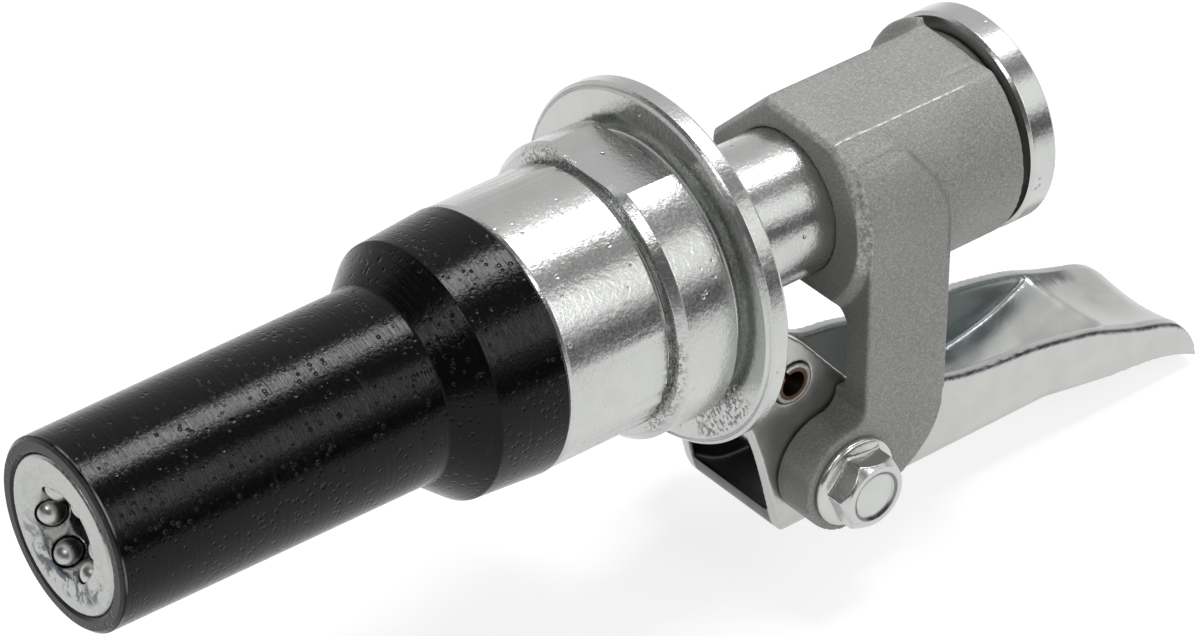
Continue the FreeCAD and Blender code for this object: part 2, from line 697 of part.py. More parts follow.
turned(cast_bracket, "StemBore", [
    (x_bracket - 1.0, 0),
    (x_bracket - 1.0, k.stem_r + k.press_gap),
    (shoulder_x + k.press_gap, k.stem_r + k.press_gap),
    (shoulder_x + k.press_gap, k.stem_rear_r + k.press_gap),
    (x_seat + 1.0, k.stem_rear_r + k.press_gap),
    (x_seat + 1.0, 0),
], kind="PartDesign::Groove")
pivot_hole = new_sketch(cast_bracket, "PivotHoleProfile", "XZ_Plane", k.arm_near + 1.0)
circle(pivot_hole, pivot_x, pivot_z, k.bolt_r + k.run_gap)
doc.recompute()
pocket(cast_bracket, "PivotHole", pivot_hole, k.boss_thick + 2.0)

# Thumb lever: folded sheet channel. Outlines are measured from the pivot.
REAR_TOP = [
    (-4.4, 17.2), (-2.9, 15.9), (-1.2, 14.0), (0.9, 11.5), (2.8, 9.3), (5.3, 6.6),
    (7.5, 4.8), (9.6, 3.8), (12.5, 3.3), (15.2, 2.7), (17.95, 1.9), (21.56, 1.1),
    (25.2, 0.65), (28.8, 0.3), (32.5, -0.3), (36.2, -1.1), (40.0, -2.1),
    (43.85, -3.6), (47.7, -4.9), (50.8, -5.9), (52.4, -6.7), (53.8, -7.9),
    (54.9, -9.4), (55.6, -11.0), (55.7, -12.2)]
REAR_LOW = [
    (55.7, -12.2), (53.0, -11.0), (49.9, -10.1), (45.3, -9.4), (42.2, -9.1),
    (39.2, -9.0), (36.0, -8.95), (33.0, -8.95)]
FLOOR_LOW = [(33.0, -8.95), (-1.5, -8.95)]
FRONT_EDGE = [
    (-1.5, -8.95), (-3.6, -8.5), (-4.9, -7.6), (-5.5, -6.5), (-5.95, -5.0),
    (-6.4, -3.2), (-6.9, -1.1), (-7.4, 0.8), (-8.2, 3.6), (-8.9, 5.6), (-9.9, 8.2),
    (-11.4, 10.8), (-13.4, 12.7)]
HOLLOW_FLOOR = [
    (-14.0, -4.8), (-7.5, -4.8), (-5.9, -5.0), (-4.3, -6.0), (-2.3, -7.0), (1.5, -7.45),
    (15.5, -7.45), (25.5, -7.4), (30.5, -7.0), (34.5, -6.2), (37.5, -5.2), (39.8, -4.0),
    (41.7, -2.9)]
UNDER_ROOF = [
    (38.3, -7.4), (40.7, -6.0), (42.6, -4.8), (44.2, -5.1), (47.5, -6.4), (50.5, -7.5),
    (52.1, -8.5), (53.2, -9.7), (53.9, -11.0)]


def vectors(points):
    return [FreeCAD.Vector(u, v, 0) for u, v in points]


def curve(points):
    spline = Part.BSplineCurve()
    spline.interpolate(vectors(points))
    return spline


def chain(sketch, runs):
    """Add connected runs of points, each as a smooth curve or as lines."""
    for kind, points in runs:
        if kind == "curve":
            sketch.addGeometry(curve(points), False)
            continue
        corners = vectors(points)
        for a, b in zip(corners, corners[1:]):
            sketch.addGeometry(Part.LineSegment(a, b), False)


# The cam is an involute, so the flange moves in step with the lever's angle.
reach = pivot_x.number - x_back.number - k.stop_gap.number
cam = []
for step in range(9):
    turn = -0.12 + 0.045 * step
    ahead = -(reach + k.cam_r.number * turn)
    cam.append((ahead * math.cos(turn) + k.cam_r.number * math.sin(turn),
                k.cam_r.number * math.cos(turn) - ahead * math.sin(turn)))
beak_top = (cam[-1][0] + 1.1, cam[-1][1] + 0.75)
crown = [beak_top, (-10.5, 20.6), (-7.4, 19.5), REAR_TOP[0]]

lever = new_body("lever")
side = new_sketch(lever, "LeverProfile", "XZ_Plane")
chain(side, [
    ("curve", cam),
    ("lines", [cam[-1], beak_top]),
    ("curve", crown),
    ("curve", REAR_TOP),
    ("curve", REAR_LOW),
    ("lines", FLOOR_LOW),
    ("curve", FRONT_EDGE),
    ("lines", [FRONT_EDGE[-1], cam[0]]),
])
block = pad(lever, "LeverBlock", side, k.lever_half * 2.0, middle=True)


def corner(sketch, low, radius, sides=(-1, 1)):
    """The bottom corners left outside a channel's rounded folds."""
    half = k.lever_half.number
    share = 1 - math.sqrt(0.5)
    for side in sides:
        wall = side * half
        foot = side * (half - radius)
        tip = side * (half + 1.0)
        sketch.addGeometry([
            Part.Arc(FreeCAD.Vector(wall, low + radius, 0),
                     FreeCAD.Vector(side * (half - radius * share), low + radius * share, 0),
                     FreeCAD.Vector(foot, low, 0)),
            Part.LineSegment(FreeCAD.Vector(foot, low, 0),
                             FreeCAD.Vector(foot, low - 1.0, 0)),
            Part.LineSegment(FreeCAD.Vector(foot, low - 1.0, 0),
                             FreeCAD.Vector(tip, low - 1.0, 0)),
            Part.LineSegment(FreeCAD.Vector(tip, low - 1.0, 0),
                             FreeCAD.Vector(tip, low + radius, 0)),
            Part.LineSegment(FreeCAD.Vector(tip, low + radius, 0),
                             FreeCAD.Vector(wall, low + radius, 0)),
        ], False)


floor_z = FLOOR_LOW[0][1]
fold = new_sketch(lever, "FoldProfile", "YZ_Plane", -12.0)
corner(fold, floor_z, k.bend_r.number)
doc.recompute()
pocket(lever, "FoldedEdges", fold, 12.0 + FLOOR_LOW[0][0], reverse=True)
fade_out = k.bend_r.number * (1 - math.sqrt(0.5))
for side_name, direction in (("Near", -1), ("Far", 1)):
    fade = new_sketch(lever, side_name + "FadeProfile", "YZ_Plane", FLOOR_LOW[0][0])
    corner(fade, floor_z, k.bend_r.number, (direction,))
    doc.recompute()
    before = lever.Tip.Shape.Volume
    fade_cut = lever.newObject("PartDesign::Pocket", side_name + "Fade")
    fade_cut.Profile = fade
    fade_cut.Length = k.fold_run.number
    fade_cut.setExpression("Length", k.fold_run.text)
    fade_cut.UseCustomVector = True
    fade_cut.Direction = FreeCAD.Vector(
        k.fold_run.number, direction * fade_out, -fade_out)
    fade_cut.AlongSketchNormal = True
    doc.recompute()
    if fade_cut.Shape.Volume > before - 1e-3:
        raise ValueError("the fold's end removes nothing")
inner = (k.lever_half - k.sheet) * 2.0
hollow = new_sketch(lever, "HollowProfile", "XZ_Plane")
chain(hollow, [
    ("curve", HOLLOW_FLOOR),
    ("lines", [HOLLOW_FLOOR[-1], (41.7, 24.0), (-24.0, 24.0), (-24.0, -6.1),
               HOLLOW_FLOOR[0]]),
])
under = new_sketch(lever, "UnderProfile", "XZ_Plane")
chain(under, [
    ("curve", UNDER_ROOF),
    ("lines", [UNDER_ROOF[-1], (54.3, -14.0), (36.6, -14.0), UNDER_ROOF[0]]),
])
doc.recompute()
pocket(lever, "Hollow", hollow, inner, middle=True)
pocket(lever, "UnderTip", under, inner, middle=True)
holes = new_sketch(lever, "LeverHoles", "XZ_Plane")
circle(holes, 0, 0, k.bush_r + k.run_gap)
circle(holes, -k.pin_ahead, k.pin_up, k.pin_r + k.press_gap)
doc.recompute()
pocket(lever, "CrossHoles", holes, k.lever_half * 2.0 + 2.0, middle=True)
place(lever, pivot_x, None, pivot_z)

# Cross pin: slotted spring pin that ties the two ears together
cross_pin = new_body("cross_pin")
tube = new_sketch(cross_pin, "PinProfile", "XZ_Plane")
circle(tube, 0, 0, k.pin_r)
circle(tube, 0, 0, k.pin_r - k.pin_wall)
pin_len = (k.lever_half + k.pin_proud) * 2.0
pad(cross_pin, "PinTube", tube, pin_len, middle=True)
slit = new_sketch(cross_pin, "SlitProfile", "XZ_Plane")
slit_turn = math.radians(k.slit_turn.number)
slit_cos, slit_sin = math.cos(slit_turn), math.sin(slit_turn)
slit_points = []
for share, out in ((-0.5, val(0.5)), (0.5, val(0.5)), (0.5, k.pin_r + 1.0),
                   (-0.5, k.pin_r + 1.0)):
    across = k.pin_slit * share
    slit_points.append((across * slit_cos - out * slit_sin,
                        across * slit_sin + out * slit_cos))
polygon(slit, slit_points)
doc.recompute()
pocket(cross_pin, "PinSlit", slit, pin_len + 2.0, middle=True)
place(cross_pin, pivot_x - k.pin_ahead, None, pivot_z + k.pin_up)


def hexagon(sketch, across):
    """Hexagon whose corner is turned a little from the sketch's vertical."""
    corner = val(across) * (1.0 / math.sqrt(3.0))
    points = []
    for i in range(6):
        angle = math.radians(90 + k.head_turn.number + 60 * i)
        points.append((corner * round(math.cos(angle), 9),
                       corner * round(math.sin(angle), 9)))
    polygon(sketch, points)


# Pivot bolt: flanged hexagon head on the arm's outer face
arm_face = -k.arm_near
head_low = arm_face - k.press_gap
head_mid = head_low - k.bolt_flange_w
head_top = head_mid - k.bolt_head
washer_y = k.lever_half + k.bush_out
nut_y = washer_y + k.washer_w + k.press_gap
bolt_end = nut_y + k.nut_w + k.bolt_out
pivot_bolt = new_body("pivot_bolt")
turned(pivot_bolt, "BoltTurned", [
    (0, head_mid - 0.35),
    (k.bolt_hex * 0.5 - 0.3, head_mid - 0.35),
    (k.bolt_flange_r - 0.15, head_mid + 0.25),
    (k.bolt_flange_r, head_mid + 0.5),
    (k.bolt_flange_r, head_low),
    (k.bolt_r, head_low),
    (k.bolt_r, bolt_end - 0.5),
    (k.bolt_r - 0.5, bolt_end),
    (0, bolt_end),
], axis="V_Axis")
head = new_sketch(pivot_bolt, "HeadProfile", "XZ_Plane", -head_mid - 0.2)
hexagon(head, k.bolt_hex)
pad(pivot_bolt, "Hexagon", head, k.bolt_head + 0.2)
turned(pivot_bolt, "HeadChamfer", [
    (k.bolt_top_r, head_top - 0.5),
    (k.bolt_top_r, head_top),
    (k.bolt_hex * 0.6, head_top + 0.55),
    (k.bolt_hex * 0.7, head_top + 0.55),
    (k.bolt_hex * 0.7, head_top - 0.5),
], kind="PartDesign::Groove", axis="V_Axis")
turned(pivot_bolt, "HeadRecess", [
    (0, head_top - 0.5),
    (k.bolt_dish_r, head_top - 0.5),
    (k.bolt_dish_r, head_top),
    (k.bolt_dish_r - 0.3, head_top + k.bolt_dish),
    (0, head_top + k.bolt_dish),
], kind="PartDesign::Groove", axis="V_Axis")
place(pivot_bolt, pivot_x, None, pivot_z)

# Pivot bush between the arm and the washer: the lever's ears turn on it
pivot_bush = new_body("pivot_bush")
bush_start = arm_face + k.boss_thick
turned(pivot_bush, "BushTurned", [
    (k.bolt_r + k.run_gap, bush_start + k.press_gap),
    (k.bush_r, bush_start + k.press_gap),
    (k.bush_r, washer_y - k.press_gap),
    (k.bolt_r + k.run_gap, washer_y - k.press_gap),
], axis="V_Axis")
place(pivot_bush, pivot_x, None, pivot_z)

pivot_washer = new_body("pivot_washer")
turned(pivot_washer, "WasherTurned", [
    (k.bolt_r + k.run_gap, washer_y),
    (k.washer_r, washer_y),
    (k.washer_r, washer_y + k.washer_w),
    (k.bolt_r + k.run_gap, washer_y + k.washer_w),
], axis="V_Axis")
place(pivot_washer, pivot_x, None, pivot_z)

# Pivot nut on the far end of the bolt
pivot_nut = new_body("pivot_nut")
nut_face = new_sketch(pivot_nut, "NutProfile", "XZ_Plane", -nut_y)
hexagon(nut_face, k.bolt_hex)
circle(nut_face, 0, 0, k.bolt_r + k.press_gap)
pad(pivot_nut, "NutHexagon", nut_face, k.nut_w, reverse=True)
nut_end = nut_y + k.nut_w
turned(pivot_nut, "NutChamfer", [
    (k.bolt_hex * 0.48, nut_end + 0.5),
    (k.bolt_hex * 0.48, nut_end),
    (k.bolt_hex * 0.6, nut_end - 0.55),
    (k.bolt_hex * 0.7, nut_end - 0.55),
    (k.bolt_hex * 0.7, nut_end + 0.5),
], kind="PartDesign::Groove", axis="V_Axis")
place(pivot_nut, pivot_x, None, pivot_z)

doc.recompute()

# Check every object, then write one STEP file per named sub-part
for thing in doc.Objects:
    if "Invalid" in thing.State or "Error" in thing.State:
        raise ValueError("%s: %s" % (thing.Label, thing.State))
bodies = [front_sleeve, rear_barrel, nozzle_core, pusher_sleeve, stem, nozzle_seal,
          main_spring, inlet_adapter, check_spring, cast_bracket, lever, cross_pin,
          pivot_bolt, pivot_bush, pivot_washer, pivot_nut]
os.makedirs("parts", exist_ok=True)
for thing in bodies + loose:
    shape = thing.Shape
    if shape.isNull() or not shape.isValid() or shape.Volume <= 0:
        raise ValueError("bad shape: " + thing.Label)
    shape.exportStep("parts/%s.step" % thing.Label)
    print("%-14s volume %9.2f  solids %d" % (thing.Label, shape.Volume, len(shape.Solids)))
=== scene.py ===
import math

import bpy
from mathutils import Matrix, Vector, noise


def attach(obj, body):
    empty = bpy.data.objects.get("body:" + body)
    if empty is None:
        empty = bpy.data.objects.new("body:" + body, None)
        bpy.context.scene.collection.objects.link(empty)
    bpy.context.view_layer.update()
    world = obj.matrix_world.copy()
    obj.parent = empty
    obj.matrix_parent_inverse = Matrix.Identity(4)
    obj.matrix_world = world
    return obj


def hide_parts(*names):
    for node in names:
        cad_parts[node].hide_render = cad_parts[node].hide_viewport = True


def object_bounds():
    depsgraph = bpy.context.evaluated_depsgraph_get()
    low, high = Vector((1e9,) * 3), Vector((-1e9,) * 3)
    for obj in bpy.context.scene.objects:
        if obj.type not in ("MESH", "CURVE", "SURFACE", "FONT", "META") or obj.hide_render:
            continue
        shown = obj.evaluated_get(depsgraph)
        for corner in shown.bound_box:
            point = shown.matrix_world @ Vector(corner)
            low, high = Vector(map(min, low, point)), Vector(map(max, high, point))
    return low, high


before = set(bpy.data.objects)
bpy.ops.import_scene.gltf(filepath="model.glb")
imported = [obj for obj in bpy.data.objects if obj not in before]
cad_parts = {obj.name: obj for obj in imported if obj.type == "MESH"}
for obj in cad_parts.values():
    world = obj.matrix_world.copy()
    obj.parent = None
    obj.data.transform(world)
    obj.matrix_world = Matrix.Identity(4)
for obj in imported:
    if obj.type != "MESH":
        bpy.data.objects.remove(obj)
cad_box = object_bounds()

# Lengths are in mm, and MM turns them into metres. Materials work in metres.
MM = 0.001
BALL_R = 1.5
BALL_RING = 4.45
BALL_X = 1.85
BALL_TURN = 5.0
PARTING_Y = 6.75
PIVOT = Vector((87.75, 0.0, -27.9))
PIN_PLACE = PIVOT + Vector((-4.16, 0, 11.4))
PIN_BORE_R = 1.9
PIN_EDGE_R = 2.24
ZINC_TINT = (0.56, 0.57, 0.555)


# ---------------------------------------------------------------- materials
class Shader:
    """A small wrapper that adds and links nodes of one material."""

    def __init__(self, name):
        self.material = bpy.data.materials.new(name)
        self.material.use_nodes = True
        self.tree = self.material.node_tree
        self.tree.nodes.clear()
        self.output = self.tree.nodes.new("ShaderNodeOutputMaterial")
        self.surface = self.tree.nodes.new("ShaderNodeBsdfPrincipled")
        self.join(self.surface.outputs["BSDF"], self.output.inputs["Surface"])
        self.coords = self.tree.nodes.new("ShaderNodeTexCoord").outputs["Object"]

    def join(self, source, target):
        self.tree.links.new(source, target)

    def give(self, socket, value):
        if isinstance(value, bpy.types.NodeSocket):
            self.join(value, socket)
        else:
            socket.default_value = value

    def node(self, kind, inputs=None, **settings):
        made = self.tree.nodes.new(kind)
        for name, value in settings.items():
            setattr(made, name, value)
        for name, value in (inputs or {}).items():
            self.give(made.inputs[name], value)
        return made

    def stretched(self, scale, offset=(0, 0, 0)):
        """Object coordinates in metres, scaled per axis."""
        return self.node("ShaderNodeMapping", {
            "Vector": self.coords, "Scale": scale, "Location": offset}).outputs["Vector"]

    def noise(self, scale, detail=2.0, rough=0.5, vector=None, distortion=0.0):
        return self.node("ShaderNodeTexNoise", {
            "Vector": vector or self.coords, "Scale": scale, "Detail": detail,
            "Roughness": rough, "Distortion": distortion}).outputs["Fac"]

    def remap(self, value, low, high, out_low=0.0, out_high=1.0):
        """Smooth step between two values."""
        return self.node("ShaderNodeMapRange", {
            "Value": value, "From Min": low, "From Max": high,
            "To Min": out_low, "To Max": out_high},
            interpolation_type="SMOOTHSTEP").outputs["Result"]

    def dots(self, scale, inner, outer, vector=None):
        """Scattered round dots: 1 inside, fading to 0 from inner to outer."""
        far = self.node("ShaderNodeTexVoronoi", {
            "Vector": vector or self.coords, "Scale": scale}).outputs["Distance"]
        return self.remap(far, inner, outer, 1.0, 0.0)

    def math(self, operation, a, b=0.5, c=0.5):
        made = self.node("ShaderNodeMath", operation=operation)
        for socket, value in zip(made.inputs, (a, b, c)):
            self.give(socket, value)
        return made.outputs[0]

    def all_of(self, *masks):
        product = masks[0]
        for other in masks[1:]:
            product = self.math("MULTIPLY", product, other)
        return product

    def length(self, *sides):
        """Square root of the sum of the squares."""
        total = self.math("POWER", sides[0], 2.0)
        for side in sides[1:]:
            total = self.math("ADD", total, self.math("POWER", side, 2.0))
        return self.math("SQRT", total)

    def attribute(self, name):
        return self.node("ShaderNodeAttribute", attribute_name=name).outputs["Fac"]

    def blend(self, share, a, b):
        """Mix two colours."""
        made = self.node("ShaderNodeMix", data_type="RGBA")
        self.give(made.inputs[0], share)
        self.give(made.inputs[6], a)
        self.give(made.inputs[7], b)
        return made.outputs[2]

    def axis(self, letter):
        return self.node("ShaderNodeSeparateXYZ", {"Vector": self.coords}).outputs[letter]

    def relief(self, height, depth, normal=None):
        """Bump whose height 0..1 stands for a depth in metres."""
        made = self.node("ShaderNodeBump", {
            "Height": height, "Distance": depth, "Strength": 1.0})
        if normal is not None:
            self.join(normal, made.inputs["Normal"])
        return made.outputs["Normal"]

    def sunk(self, hollow, depth, normal):
        """Relief whose mask is 1 at the bottom of a hollow."""
        return self.relief(self.math("SUBTRACT", 1.0, hollow), depth, normal)

    def finish(self, color, rough, metallic, normal=None, **constants):
        self.give(self.surface.inputs["Base Color"], color)
        self.give(self.surface.inputs["Roughness"], rough)
        self.give(self.surface.inputs["Metallic"], metallic)
        if normal is not None:
            self.join(normal, self.surface.inputs["Normal"])
        for name, value in constants.items():
            self.surface.inputs[name.replace("_", " ")].default_value = value
        return self.material


def zinc_turned(name, along="X", grain=1.0, rings=1.0, rough=0.23):
    """Zinc plated steel with turning marks about one axis and a speckled grain."""
    s = Shader(name)
    fast, slow = 4200.0, 55.0
    scale = (fast, slow, slow) if along == "X" else (slow, fast, slow)
    marks = s.noise(1.0, 2.0, 0.6, s.stretched(scale))
    fine = s.noise(3600.0, 2.0, 0.6)
    grains = s.noise(1500.0, 2.0, 0.6)
    coarse = s.noise(420.0, 2.0, 0.5)
    wear = s.remap(s.noise(130.0, 3.0, 0.55), 0.42, 0.7)
    pits = s.math("MULTIPLY", s.dots(700.0, 0.08, 0.20),
                  s.remap(s.noise(230.0, 2.0), 0.54, 0.66))
    base = s.blend(s.remap(coarse, 0.3, 0.75), (*[c * 0.95 for c in ZINC_TINT], 1),
                   (*ZINC_TINT, 1))
    base = s.blend(s.math("MULTIPLY", wear, 0.15), base, (0.50, 0.51, 0.53, 1))
    base = s.blend(s.math("MULTIPLY", pits, 0.6), base, (0.22, 0.22, 0.24, 1))
    marred = s.attribute("marred")
    chips = s.remap(s.noise(1900.0, 3.0, 0.65), 0.50, 0.60)
    base = s.blend(s.all_of(marred, chips, 0.85), base, (0.13, 0.135, 0.13, 1))
    # Painted shade in the groove round the bolt's face, where that mask exists.
    base = s.blend(s.attribute("groove_shade"), base, (0.10, 0.105, 0.11, 1))
    roughness = s.math("ADD", s.remap(fine, 0.3, 0.7, rough - 0.03, rough + 0.04),
                       s.math("MULTIPLY", wear, 0.04))
    normal = s.relief(marks, 0.0000040 * rings)
    normal = s.relief(fine, 0.000010 * grain, normal)
    normal = s.relief(grains, 0.000030 * grain, normal)
    normal = s.sunk(pits, 0.00005, normal)
    normal = s.relief(s.math("MULTIPLY", marred, chips), 0.00012, normal)
    return s.finish(base, roughness, 1.0, normal)


def zinc_mouth(name):
    """The dished mouth: plated, grease-stained, with painted shade in the gaps round the balls."""
    s = Shader(name)
    fine = s.noise(1900.0, 3.0, 0.6)
    stain = s.remap(s.noise(420.0, 4.0, 0.65, distortion=1.2), 0.44, 0.58)
    y, z = s.axis("Y"), s.axis("Z")
    radius = s.length(y, z)
    turn = s.math("ARCTAN2", s.math("MULTIPLY", z, -1.0), y)
    turn = s.math("SUBTRACT", turn, math.radians(BALL_TURN))
    half_step = math.pi / 6
    turn = s.math("WRAP", turn, half_step, -half_step)
    off_ring = s.math("SUBTRACT", s.math("MULTIPLY", radius, s.math("COSINE", turn)),
                      BALL_RING * MM)
    aside = s.math("MULTIPLY", radius, s.math("SINE", turn))
    ahead = s.math("SUBTRACT", s.axis("X"), BALL_X * MM)
    # Painted shade: near black close round each ball.
    ball_gap_shade = s.remap(s.length(off_ring, aside, ahead),
                  (BALL_R + 0.06) * MM, (BALL_R + 0.26) * MM, 1.0, 0.0)
    low = s.remap(z, -0.0045, 0.0005, 1.0, 0.12)
    rim = s.remap(radius, 0.0066, 0.0074, 1.0, 0.12)
    base = s.blend(s.remap(fine, 0.35, 0.65), (0.435, 0.445, 0.43, 1), (0.50, 0.51, 0.49, 1))
    base = s.blend(s.all_of(stain, low, rim), base, (0.10, 0.112, 0.13, 1))
    base = s.blend(ball_gap_shade, base, (0.012, 0.013, 0.014, 1))
    normal = s.relief(fine, 0.00003)
    normal = s.relief(s.noise(420.0, 2.0), 0.00008, normal)
    return s.finish(base, s.remap(fine, 0.3, 0.7, 0.24, 0.36), 1.0, normal)


def black_gloss(name):
    """Oiled black finish on turned steel: fine marks, pits and small dents."""
    s = Shader(name)
    marks = s.noise(1.0, 3.0, 0.65, s.stretched((3300.0, 130.0, 130.0)))
    fine = s.noise(2500.0, 3.0, 0.6)
    cluster = s.remap(s.noise(170.0, 4.0, 0.65), 0.42, 0.56)
    pits = s.math("MULTIPLY", s.dots(1150.0, 0.12, 0.32), cluster)
    dents = s.dots(430.0, 0.05, 0.16, s.stretched((1.0, 1.0, 1.0), (0.013, 0.021, 0.007)))
    dents = s.math("MULTIPLY", dents, s.remap(s.noise(120.0, 2.0), 0.50, 0.60))
    scratch = s.noise(1.0, 4.0, 0.7, s.stretched((900.0, 160.0, 160.0)), 1.5)
    scratch = s.remap(scratch, 0.62, 0.72)
    rim = s.remap(s.axis("X"), 0.00020, 0.00032, 1.0, 0.0)
    # A lighter line round the front edge: wear, partly a painted highlight.
    edge_wear_and_highlight = s.math("MULTIPLY", s.remap(s.axis("X"), 0.00030, 0.00042),
                  s.remap(s.axis("X"), 0.00050, 0.00062, 1.0, 0.0))
    edge_wear_and_highlight = s.math("MULTIPLY", edge_wear_and_highlight, s.remap(s.noise(210.0, 3.0), 0.40, 0.62))
    base = s.blend(s.math("MULTIPLY", scratch, 0.5), (0.0021, 0.0020, 0.0019, 1),
                   (0.030, 0.029, 0.028, 1))
    base = s.blend(rim, base, (0.060, 0.055, 0.056, 1))
    base = s.blend(edge_wear_and_highlight, base, (0.22, 0.21, 0.20, 1))
    roughness = s.remap(fine, 0.3, 0.7, 0.13, 0.22)
    normal = s.relief(marks, 0.000046)
    normal = s.relief(fine, 0.000026, normal)
    normal = s.sunk(pits, 0.000075, normal)
    normal = s.sunk(dents, 0.00009, normal)
    return s.finish(base, roughness, 0.0, normal, IOR=1.26)


def blasted_casting(name):
    """Grey blasted casting: fine salt and pepper grain, a parting line, edges bright with wear,
    with painted highlight on the line and edges, and painted shade.
    """
    s = Shader(name)
    grain = s.noise(4300.0, 4.0, 0.8)
    salt = s.dots(2300.0, 0.12, 0.30)
    pepper = s.noise(2900.0, 3.0, 0.7, s.stretched((1.0, 1.0, 1.0), (0.3, 0.1, 0.2)))
    broad = s.noise(95.0, 2.0, 0.5)
    pores = s.math("MULTIPLY", s.dots(900.0, 0.05, 0.20), s.remap(s.noise(300.0), 0.60, 0.70))
    # The parting line: a light ridge, partly a painted highlight.
    off_y = s.math("ABSOLUTE", s.math("ADD", s.axis("Y"), PARTING_Y * MM))
    high = s.remap(s.axis("Z"), 0.0090, 0.0095)
    start = s.remap(s.axis("X"), 0.0880, 0.0895)
    stop = s.remap(s.axis("X"), 0.1055, 0.1072, 1.0, 0.0)
    line = s.all_of(s.remap(off_y, 0.00005, 0.00017, 1.0, 0.0), high, start, stop,
                    s.remap(s.noise(900.0, 2.0), 0.40, 0.58, 0.15, 0.8))
    base = s.blend(s.remap(grain, 0.34, 0.66), (0.195, 0.192, 0.185, 1), (0.37, 0.366, 0.354, 1))
    base = s.blend(s.remap(pepper, 0.54, 0.70, 0.0, 0.55), base, (0.20, 0.195, 0.19, 1))
    base = s.blend(s.math("MULTIPLY", salt, 0.5), base, (0.50, 0.495, 0.485, 1))
    base = s.blend(s.math("MULTIPLY", pores, 0.5), base, (0.12, 0.115, 0.11, 1))
    base = s.blend(s.remap(broad, 0.35, 0.7, 0.0, 0.10), base, (0.50, 0.50, 0.49, 1))
    patchy = s.remap(s.noise(1500.0, 4.0, 0.75), 0.40, 0.62)
    # Edges bright with wear, partly painted highlight.
    base = s.blend(s.all_of(s.attribute("rubbed_and_highlight"), patchy, 0.75), base, (0.78, 0.78, 0.76, 1))
    base = s.blend(line, base, (0.80, 0.80, 0.79, 1))
    # Painted shade from the vertex mask: the inlet's seat, the cheek's rear edge, the front face.
    base = s.blend(s.attribute("painted_shade"), base, (0.075, 0.075, 0.072, 1))
    roughness = s.remap(grain, 0.3, 0.7, 0.45, 0.62)
    normal = s.relief(grain, 0.00004)
    normal = s.relief(pepper, 0.00005, normal)
    normal = s.relief(line, 0.00010, normal)
    normal = s.sunk(pores, 0.00005, normal)
    return s.finish(base, roughness, 0.35, normal)


def zinc_sheet(name):
    """Zinc plated sheet: faint drawing marks, and painted shade below the rim, inside the front
    opening, on the far wall's inner face and in the tip's corner.
    """
    s = Shader(name)
    fine = s.noise(2400.0, 3.0, 0.6)
    spangle = s.noise(260.0, 2.0, 0.5)
    drawn = s.noise(1.0, 2.0, 0.6, s.stretched((70.0, 1500.0, 1500.0)))
    spots = s.math("MULTIPLY", s.dots(300.0, 0.05, 0.14), s.remap(s.noise(110.0), 0.58, 0.66))
    base = s.blend(s.remap(spangle, 0.32, 0.7), (0.49, 0.50, 0.485, 1), (0.55, 0.555, 0.535, 1))
    base = s.blend(s.math("MULTIPLY", spots, 0.5), base, (0.30, 0.31, 0.32, 1))
    # Painted shade: a dark line below the rim.
    rim_shade_line = s.math("MULTIPLY", s.attribute("rim_shade_line"), s.remap(s.noise(900.0), 0.3, 0.6, 0.75, 1.0))
    base = s.blend(rim_shade_line, base, (0.06, 0.062, 0.075, 1))
    # Painted shade in the tip's far corner.
    base = s.blend(s.attribute("tip_corner_shade"), base, (0.10, 0.10, 0.105, 1))
    # Painted shade inside the front opening.
    base = s.blend(s.attribute("opening_shade"), base, (0.085, 0.090, 0.086, 1))
    # Painted shade on the far wall's inner face.
    base = s.blend(s.attribute("far_wall_shade"), base, (0.15, 0.175, 0.18, 1))
    roughness = s.remap(spangle, 0.3, 0.7, 0.28, 0.38)
    normal = s.relief(drawn, 0.000008)
    normal = s.relief(fine, 0.000022, normal)
    normal = s.relief(spangle, 0.00003, normal)
    return s.finish(base, roughness, 1.0, normal)


def plain_metal(name, color, rough, dark=(0.2, 0.2, 0.2)):
    """Bare steel with faint darker patches."""
    s = Shader(name)
    fine = s.noise(2100.0, 3.0, 0.6)
    patch = s.noise(700.0, 3.0, 0.6)
    base = s.blend(s.remap(patch, 0.45, 0.75, 0.0, 0.6), (*color, 1), (*dark, 1))
    normal = s.relief(fine, 0.00001)
    return s.finish(base, s.remap(patch, 0.3, 0.7, rough - 0.06, rough + 0.08), 1.0, normal)


def rusty_pin(name):
    """Spring pin: bright end, brown bore, painted shade on its outer side."""
    s = Shader(name)
    patch = s.noise(1400.0, 3.0, 0.6)
    ahead = s.math("SUBTRACT", s.axis("X"), PIN_PLACE.x * MM)
    above = s.math("SUBTRACT", s.axis("Z"), PIN_PLACE.z * MM)
    radius = s.length(ahead, above)
    inside = s.remap(radius, (PIN_BORE_R - 0.06) * MM, (PIN_BORE_R + 0.06) * MM, 1.0, 0.0)
    outside = s.remap(radius, (PIN_EDGE_R - 0.06) * MM, (PIN_EDGE_R + 0.06) * MM)
    base = s.blend(s.remap(patch, 0.4, 0.7), (0.62, 0.60, 0.56, 1), (0.44, 0.40, 0.35, 1))
    base = s.blend(inside, base, (0.13, 0.090, 0.065, 1))
    # Painted shade on the pin's outer side.
    base = s.blend(s.math("MULTIPLY", outside, 0.8), base, (0.07, 0.062, 0.055, 1))
    return s.finish(base, s.remap(patch, 0.3, 0.7, 0.3, 0.5), 1.0, s.relief(patch, 0.00002))


def rubber(name):
    """Matt black rubber."""
    s = Shader(name)
    fine = s.noise(3000.0, 2.0)
    base = s.blend(s.remap(fine, 0.3, 0.7), (0.018, 0.018, 0.018, 1), (0.035, 0.034, 0.033, 1))
    return s.finish(base, s.remap(fine, 0.3, 0.7, 0.5, 0.65), 0.0, s.relief(fine, 0.00001))


